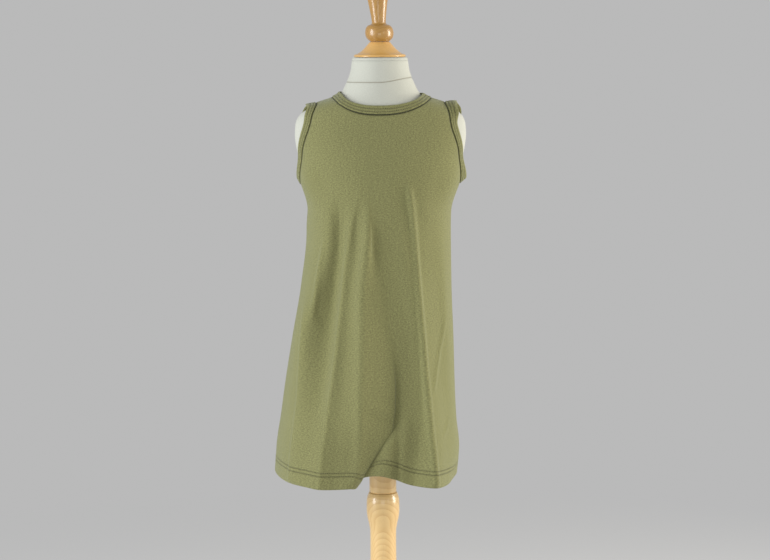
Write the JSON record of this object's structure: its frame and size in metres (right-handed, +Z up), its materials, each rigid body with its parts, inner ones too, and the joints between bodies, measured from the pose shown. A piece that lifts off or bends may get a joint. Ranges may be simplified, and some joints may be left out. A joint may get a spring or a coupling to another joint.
{
  "type": "a-line dress on dress form",
  "caption": "Child's sleeveless a-line jersey dress with bound neck and armholes, standing on a limbless canvas dress form with a turned wooden stand.",
  "frame": {"origin": "centre of the round base's underside, on the floor, on the centre line of the post", "axes": "+Z up along the post; -Y is the front of the dress; +X is the wearer's left"},
  "size_m": [0.3033, 0.3, 1.075],
  "materials": {
    "olive_jersey": "matt cotton jersey, plain knit",
    "cream_canvas": "matt cotton canvas, plain weave, sewn tight over the form",
    "clear_lacquered_wood": "turned light wood with a clear satin lacquer"
  },
  "bodies": {
    "root": {"front_panel": "olive_jersey", "back_panel": "olive_jersey", "neck_binding": "olive_jersey", "right_armhole_binding": "olive_jersey", "left_armhole_binding": "olive_jersey", "form_torso": "cream_canvas", "neck_cap": "clear_lacquered_wood", "finial": "clear_lacquered_wood", "upper_post": "clear_lacquered_wood", "turned_post": "clear_lacquered_wood", "base": "clear_lacquered_wood"}
  },
  "joints": []
}
